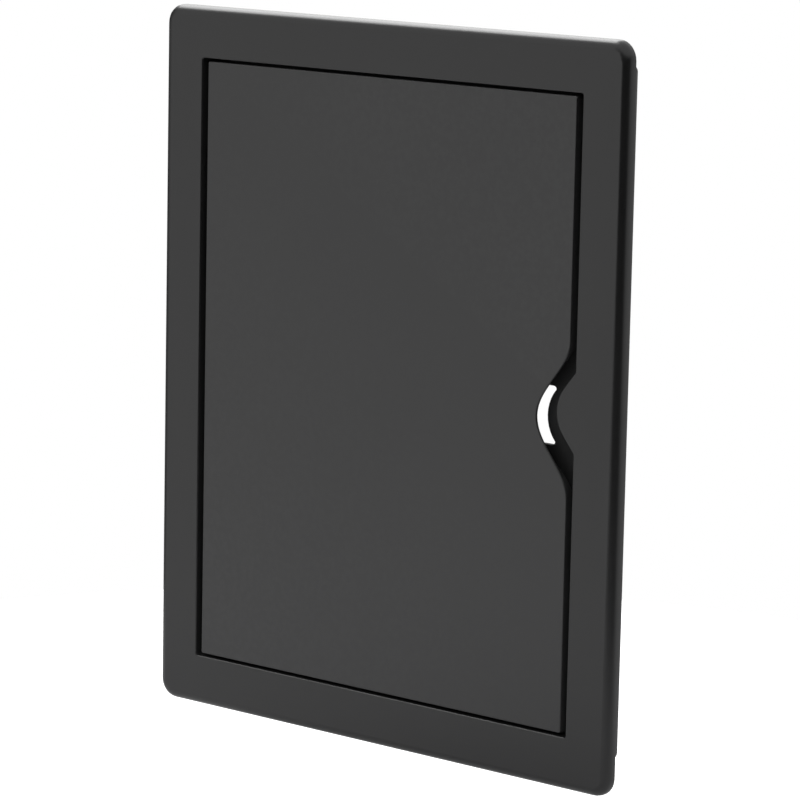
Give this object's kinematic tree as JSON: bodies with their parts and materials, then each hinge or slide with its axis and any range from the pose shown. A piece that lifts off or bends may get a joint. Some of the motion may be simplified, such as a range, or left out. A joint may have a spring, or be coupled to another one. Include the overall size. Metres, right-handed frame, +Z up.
{
  "type": "access panel",
  "caption": "Flush rectangular plastic access panel: bezel frame with rear collar, hinged door and a curved finger pull with a through slot at the free edge.",
  "frame": {"origin": "centre of the wall opening, in the plane of the wall's surface, where the rim of the bezel seats", "axes": "+Z up along the long side, +X to the right seen from the front, +Y into the wall; the front faces -Y"},
  "size_m": [0.2186, 0.0193, 0.2686],
  "materials": {
    "frame_plastic": "black moulded plastic, semi-matt with a fine grain",
    "door_plastic": "black moulded plastic, semi-matt with a fine grain",
    "pin_steel": "bright drawn steel",
    "magnet_ferrite": "ground grey ferrite",
    "keeper_zinc": "zinc plated sheet steel"
  },
  "bodies": {
    "frame": {"frame": "frame_plastic", "hinge_pin_upper": "pin_steel", "hinge_pin_lower": "pin_steel", "catch_magnet_upper": "magnet_ferrite", "catch_magnet_lower": "magnet_ferrite"},
    "door": {"door": "door_plastic", "keeper_plate_upper": "keeper_zinc", "keeper_plate_lower": "keeper_zinc"}
  },
  "joints": [
    {"name": "door_hinge", "type": "hinge", "parent": "frame", "child": "door", "pos_m": [-0.0842, 0.0001, 0], "axis": [0, 0, -1], "range_deg": [0, 105]}
  ]
}
